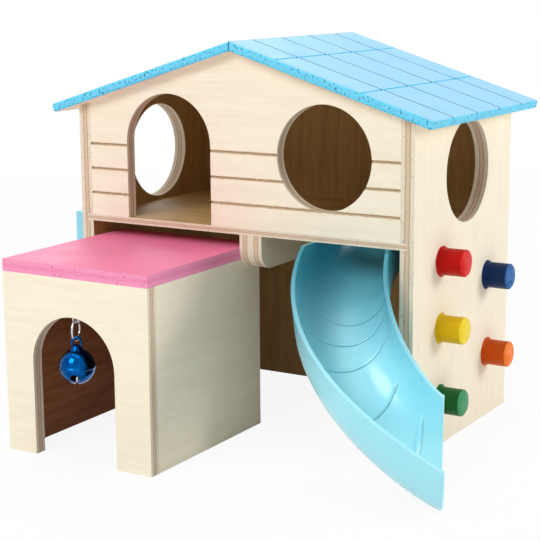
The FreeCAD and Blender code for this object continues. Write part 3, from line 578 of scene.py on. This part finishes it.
def slideFrame(part):
    # middle of the trough's floor, and the directions across, up and ahead there
    s = slideSetup
    turnAll = math.radians(s["turn"])
    plan = s["run"] + s["bend"] * turnAll
    topSlope = math.radians(s["slopeTop"])
    endSlope = math.radians(s["slopeEnd"])
    poles = ((0.0, s["top"]),
             (s["pullTop"] * math.cos(topSlope), s["top"] - s["pullTop"] * math.sin(topSlope)),
             (plan - s["pullEnd"] * math.cos(endSlope), s["end"] + s["pullEnd"] * math.sin(endSlope)),
             (plan, s["end"]))
    rest = 1.0 - part
    shares = (rest ** 3, 3 * part * rest ** 2, 3 * part ** 2 * rest, part ** 3)
    along = sum(share * pole[0] for share, pole in zip(shares, poles))
    height = sum(share * pole[1] for share, pole in zip(shares, poles))
    turn = min(max((along - s["run"]) / s["bend"], 0.0), turnAll)
    middle = Vector((s["x"] + s["bend"] * (1.0 - math.cos(turn)),
                     s["y"] - min(along, s["run"]) - s["bend"] * math.sin(turn), height))
    ahead = Vector((math.sin(turn), -math.cos(turn), 0.0))
    side = Vector((-math.cos(turn), -math.sin(turn), 0.0))
    bank = math.radians(s["bank"][0] * rest + s["bank"][1] * part)
    upright = Vector((0.0, 0.0, 1.0))
    across = side * math.cos(bank) + upright * math.sin(bank)
    upward = upright * math.cos(bank) - side * math.sin(bank)
    half = s["half"][0] * rest + s["half"][1] * part
    high = (s["high"][0] * rest * (1 - 2 * part) + 4 * s["high"][1] * part * rest
            + s["high"][2] * part * (2 * part - 1))
    bowl = high * (s["bowl"][0] * rest + s["bowl"][1] * part)
    return middle, across, upward, ahead, half, high, bowl


def onTrough(part, around, lift=0.0):
    # a point of the inner face: around is 0 and 180 where the bowl meets the two side walls
    middle, across, upward, ahead, half, high, bowl = slideFrame(part)
    angle = math.radians(min(max(around, 0.0), 180.0))
    out = (half - lift) * math.cos(angle)
    up = bowl - (bowl - lift) * math.sin(angle)
    if around < 0.0 or around > 180.0:
        beyond = (-around if around < 0.0 else around - 180.0) / 90.0
        up = bowl + (high - bowl) * beyond
    return middle + across * out + upward * up, ahead


def toRow(point):
    return houseMiddle + Vector(point) / 1000.0


def gridPiece(name, rows, columns, place):
    bpy.ops.object.select_all(action="DESELECT")
    bpy.ops.mesh.primitive_grid_add(x_subdivisions=rows, y_subdivisions=columns, size=2.0)
    piece = bpy.context.object
    piece.name = name
    for vertex in piece.data.vertices:
        vertex.co = place((vertex.co.x + 1.0) / 2.0, (vertex.co.y + 1.0) / 2.0)
    return piece


def makeSlidePlastic():
    material, tree, shader, coords = startMaterial("slidePlastic")
    cloud = noiseNode(tree, coords.outputs["Object"], 28.0, 3.0, 0.5)
    colour = mixColour(tree, rampNode(tree, cloud, 0.3, 0.75), slideSetup["pale"], slideSetup["paler"])
    height = alongAxis(tree, coords.outputs["Object"], (0.0, 0.0, 1.0))
    # painted shade: the plastic turns darker towards the neck, standing in for the shade under the floor
    colour = mixColour(tree, rampNode(tree, height, *slideSetup["deepens"]), colour, slideSetup["deep"])
    tree.links.new(colour, shader.inputs["Base Color"])
    fine = noiseNode(tree, coords.outputs["Object"], 420.0, 2.0, 0.5)
    tree.links.new(mathNode(tree, "ADD", 0.17, mathNode(tree, "MULTIPLY", fine, 0.12)),
                   shader.inputs["Roughness"])
    shader.inputs["IOR"].default_value = 1.5
    addBump(tree, shader, noiseNode(tree, coords.outputs["Object"], 120.0, 2.0), 0.06, 0.0003)
    return material


def makeSlide():
    s = slideSetup
    plastic = makeSlidePlastic()

    def trough(u, v):
        around = -90.0 + 360.0 * v
        return toRow(onTrough(u, around)[0])

    body = gridPiece("slide_body", s["rows"], s["columns"], trough)
    bpy.ops.object.mode_set(mode="EDIT")
    bpy.ops.mesh.select_all(action="DESELECT")
    bpy.ops.object.mode_set(mode="OBJECT")
    endPlane = slideFrame(0.0)
    for edge in body.data.edges:   # the closed back end
        edge.select = all(abs((body.data.vertices[key].co - toRow(endPlane[0])).dot(endPlane[3])) < 1e-6
                          for key in edge.vertices)
    bpy.ops.object.mode_set(mode="EDIT")
    bpy.ops.mesh.select_mode(type="EDGE")
    bpy.ops.mesh.edge_face_add()
    bpy.ops.mesh.select_all(action="SELECT")
    bpy.ops.mesh.normals_make_consistent(inside=False)
    bpy.ops.object.mode_set(mode="OBJECT")
    target = toRow(slideFrame(0.6)[0])
    lowFace = min(body.data.polygons, key=lambda face: (face.center - target).length)
    if lowFace.normal.z > 0.0:
        bpy.ops.object.mode_set(mode="EDIT")
        bpy.ops.mesh.select_all(action="SELECT")
        bpy.ops.mesh.flip_normals()
        bpy.ops.object.mode_set(mode="OBJECT")
    applyModifier(body, "SOLIDIFY", {"thickness": s["wall"] / 1000.0, "offset": 1.0,
                                     "use_even_offset": True})
    bpy.ops.object.mode_set(mode="EDIT")
    bpy.ops.mesh.select_all(action="SELECT")
    bpy.ops.mesh.bisect(plane_co=(0.0, 0.0, s["cutGap"]), plane_no=(0.0, 0.0, -1.0),
                        clear_outer=True, use_fill=True)
    bpy.ops.mesh.select_all(action="SELECT")
    bpy.ops.mesh.bisect(plane_co=(0.0, 0.0, s["underFloor"] / 1000.0), plane_no=(0.0, 0.0, 1.0),
                        clear_outer=True, use_fill=True)
    bpy.ops.object.mode_set(mode="OBJECT")
    applyModifier(body, "BEVEL", {"width": s["edgeRound"] / 1000.0, "segments": 2,
                                  "limit_method": "ANGLE", "angle_limit": math.radians(50.0)})

    collar = copyNode("slide_chute", "slide_collar")
    bpy.ops.object.mode_set(mode="EDIT")
    bpy.ops.mesh.select_all(action="SELECT")
    bpy.ops.mesh.bisect(plane_co=(0.0, 0.0, s["underFloor"] / 1000.0 - s["cutGap"]),
                        plane_no=(0.0, 0.0, 1.0), clear_inner=True)
    bpy.ops.object.mode_set(mode="OBJECT")

    parts = [collar]
    for index, (part, high, wide, start, stop) in enumerate(s["ribs"]):
        def rib(u, v):
            swell = math.sin(math.pi * v) * min(1.0, 14.0 * min(u, 1.0 - u))
            point, ahead = onTrough(part, start + (stop - start) * u, high * swell - s["ribSunk"])
            return toRow(point + ahead * wide * (v - 0.5))
        parts.append(gridPiece("slide_rib%d" % index, 40, 8, rib))
    onlySelect(body)
    for part in parts:
        part.select_set(True)
    bpy.context.view_layer.objects.active = body
    bpy.ops.object.join()
    body.data.materials.clear()
    body.data.materials.append(plastic)
    onlySelect(body)
    bpy.ops.object.shade_smooth_by_angle(angle=math.radians(38.0))
    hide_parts("slide_chute")
    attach(body, "house")


makeSlide()
print("slide made")


def makeMetal(name, light, dark, roughness, scale):
    material, tree, shader, coords = startMaterial(name)
    cloud = noiseNode(tree, coords.outputs["Object"], scale, 3.0, 0.6)
    colour = mixColour(tree, rampNode(tree, cloud, 0.35, 0.7), light, dark)
    tree.links.new(colour, shader.inputs["Base Color"])
    shader.inputs["Metallic"].default_value = 1.0
    tree.links.new(mathNode(tree, "ADD", roughness, mathNode(tree, "MULTIPLY", cloud, 0.08)),
                   shader.inputs["Roughness"])
    addBump(tree, shader, noiseNode(tree, coords.outputs["Object"], scale * 6, 2.0, 0.6), 0.05, 0.0001)
    return material


steel = makeMetal("brightSteel", srgb(212, 213, 215), srgb(180, 182, 186), 0.16, 300.0)
blueChrome = makeMetal("blueChrome", srgb(4, 88, 160), srgb(2, 58, 118), 0.05, 220.0)
for fitting in ("slide_screws", "edge_nails", "bell_staple", "bell_ring", "bell_pellet"):
    smoothCopy(fitting, steel)
for fitting in ("bell_loop", "bell_upper_shell", "bell_lower_shell"):
    smoothCopy(fitting, blueChrome)
print("fittings made")


def seenDirectly(tree):
    path = addNode(tree, "ShaderNodeLightPath")
    mirrored = mathNode(tree, "MAXIMUM", path.outputs["Is Glossy Ray"], path.outputs["Is Transmission Ray"])
    return mathNode(tree, "MAXIMUM", path.outputs["Is Camera Ray"], mirrored)


def makeFloor():
    bpy.ops.object.select_all(action="DESELECT")
    bpy.ops.mesh.primitive_plane_add(size=12.0, location=(0.0, 0.0, 0.0))
    floor = bpy.context.object
    floor.name = "studioFloor"
    material = bpy.data.materials.new("studioFloor")
    material.use_nodes = True
    tree = material.node_tree
    tree.nodes.clear()
    output = addNode(tree, "ShaderNodeOutputMaterial")
    matt = addNode(tree, "ShaderNodeBsdfDiffuse")
    coords = addNode(tree, "ShaderNodeTexCoord")
    paper = noiseNode(tree, coords.outputs["Object"], 4.0, 2.0)
    tone = mixColour(tree, mathNode(tree, "MULTIPLY", paper, 0.05), lightSetup["floorColour"],
                     lightSetup["floorMottle"])
    tree.links.new(tone, matt.inputs["Color"])
    glow = addNode(tree, "ShaderNodeEmission", None, {"Color": (1.0, 1.0, 1.0, 1.0), "Strength": 1.0})
    mix = addNode(tree, "ShaderNodeMixShader")
    away = addNode(tree, "ShaderNodeVectorMath", {"operation": "LENGTH"})
    tree.links.new(coords.outputs["Object"], away.inputs[0])
    faded = rampNode(tree, away.outputs["Value"], *lightSetup["floorFades"])
    strength = mathNode(tree, "MAXIMUM", faded, lightSetup["floorGlow"])
    tree.links.new(mathNode(tree, "MULTIPLY", seenDirectly(tree), strength), mix.inputs[0])
    tree.links.new(matt.outputs[0], mix.inputs[1])
    tree.links.new(glow.outputs[0], mix.inputs[2])
    tree.links.new(mix.outputs[0], output.inputs["Surface"])
    floor.data.materials.append(material)


def makeWorld():
    world = bpy.data.worlds.new("studioWorld")
    scene.world = world
    world.use_nodes = True
    tree = world.node_tree
    tree.nodes.clear()
    output = addNode(tree, "ShaderNodeOutputWorld")
    fill = addNode(tree, "ShaderNodeBackground", None,
                   {"Color": (1.0, 1.0, 1.0, 1.0), "Strength": lightSetup["worldFill"]})
    white = addNode(tree, "ShaderNodeBackground", None, {"Color": (1.0, 1.0, 1.0, 1.0), "Strength": 1.0})
    mix = addNode(tree, "ShaderNodeMixShader")
    tree.links.new(seenDirectly(tree), mix.inputs[0])
    tree.links.new(fill.outputs[0], mix.inputs[1])
    tree.links.new(white.outputs[0], mix.inputs[2])
    tree.links.new(mix.outputs[0], output.inputs["Surface"])


def makeLamps():
    for name, (place, size, power, colour) in lightSetup["lamps"].items():
        lamp = bpy.data.lights.new(name, "AREA")
        lamp.shape = "SQUARE"
        lamp.size = size
        lamp.energy = power
        lamp.color = colour
        item = bpy.data.objects.new(name, lamp)
        scene.collection.objects.link(item)
        item.location = place
        aim = Vector(lightSetup["aimAt"]) - Vector(place)
        item.rotation_euler = aim.to_track_quat("-Z", "Y").to_euler()


def makeCamera():
    yaw = math.radians(cameraSetup["yaw"])
    pitch = math.radians(cameraSetup["pitch"])
    roll = math.radians(cameraSetup["roll"])
    ahead = Vector((-math.sin(yaw) * math.cos(pitch), math.cos(yaw) * math.cos(pitch), -math.sin(pitch)))
    right = Vector((math.cos(yaw), math.sin(yaw), 0.0))
    up = right.cross(ahead)
    turnedRight = right * math.cos(roll) + up * math.sin(roll)
    turnedUp = up * math.cos(roll) - right * math.sin(roll)
    lens = bpy.data.cameras.new("photoCamera")
    lens.lens = cameraSetup["lens"]
    lens.sensor_width = cameraSetup["sensor"]
    lens.clip_start = cameraSetup["near"]
    item = bpy.data.objects.new("photoCamera", lens)
    scene.collection.objects.link(item)
    turn = Matrix((turnedRight, turnedUp, -ahead)).transposed().to_4x4()
    item.matrix_world = Matrix.Translation(houseMiddle + Vector(cameraSetup["place"])) @ turn
    scene.camera = item


makeFloor()
makeWorld()
makeLamps()
makeCamera()
scene.view_settings.view_transform = "Standard"
print("stage made")
